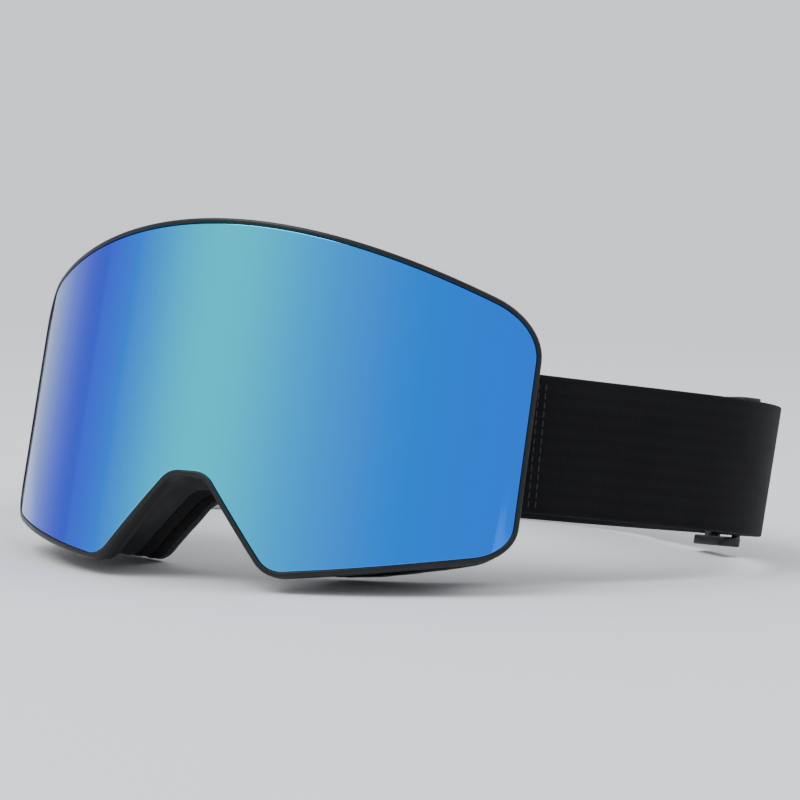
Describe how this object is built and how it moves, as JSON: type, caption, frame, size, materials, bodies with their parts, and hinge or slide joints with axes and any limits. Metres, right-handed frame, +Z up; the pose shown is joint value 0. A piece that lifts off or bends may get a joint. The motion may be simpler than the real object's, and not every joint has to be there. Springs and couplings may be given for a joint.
{
  "type": "ski goggles",
  "caption": "Ski goggles with a blue mirrored cylindrical lens in a thin black rim, held by magnets, layered face foam, and a wide black elastic strap with adjusters.",
  "frame": {"origin": "on the surface the goggles rest on, in the middle of their box, as they stand on the cheeks of the foam and the back of the strap", "axes": "+Z up, the lens faces -Y and is leant back, +X is the wearer's left"},
  "size_m": [0.2486, 0.2094, 0.1047],
  "materials": {
    "mirror_lens": "mirror-coated polycarbonate, blue",
    "tape": "adhesive foam tape",
    "rim_plastic": "satin black",
    "magnet": "nickel plated",
    "spacer_foam": "closed-cell foam",
    "clear_lens": "clear",
    "seat_plastic": "satin black",
    "frame_rubber": "matte black",
    "vent_foam": "open-cell foam",
    "foam": "open-cell foam",
    "fleece": "brushed fleece",
    "steel": "blackened",
    "webbing": "woven elastic, black",
    "silicone": "glossy silicone",
    "slide_plastic": "satin black"
  },
  "bodies": {
    "goggle_frame": {"lens_seat": "seat_plastic", "seat_magnets": "magnet", "face_frame": "frame_rubber", "top_vent_foam": "vent_foam", "bottom_vent_foam_left": "vent_foam", "bottom_vent_foam_right": "vent_foam", "foam_base": "foam", "foam_middle": "foam", "foam_fleece": "fleece", "strap_bar_left": "steel", "strap_bar_right": "steel", "strap_band": "webbing", "strap_tail_left": "webbing", "strap_tail_right": "webbing", "grip_strips": "silicone"},
    "lens": {"outer_lens": "mirror_lens", "lens_tape": "tape", "lens_rim": "rim_plastic", "lens_magnets": "magnet", "lens_spacer": "spacer_foam", "inner_lens": "clear_lens"},
    "left_strap_end": {"strap_end_left": "webbing"},
    "right_strap_end": {"strap_end_right": "webbing"},
    "left_adjuster": {"adjuster_left": "slide_plastic"},
    "right_adjuster": {"adjuster_right": "slide_plastic"}
  },
  "joints": [
    {"name": "lens_release", "type": "slide", "parent": "goggle_frame", "child": "lens", "axis": [0, -0.9707, 0.2402], "range_m": [0, 0.04]},
    {"name": "left_strap_swing", "type": "hinge", "parent": "goggle_frame", "child": "left_strap_end", "pos_m": [0.07644, -0.05168, 0.04244], "axis": [0, 0.1461, 0.9893], "range_deg": [-12, 12]},
    {"name": "right_strap_swing", "type": "hinge", "parent": "goggle_frame", "child": "right_strap_end", "pos_m": [-0.07644, -0.05168, 0.04244], "axis": [0, 0.1461, 0.9893], "range_deg": [-12, 12]},
    {"name": "left_adjuster_slide", "type": "slide", "parent": "goggle_frame", "child": "left_adjuster", "axis": [-0.8387, 0.5388, -0.0795], "range_m": [0, 0.031]},
    {"name": "right_adjuster_slide", "type": "slide", "parent": "goggle_frame", "child": "right_adjuster", "axis": [0.8387, 0.5388, -0.0795], "range_m": [0, 0.031]}
  ]
}
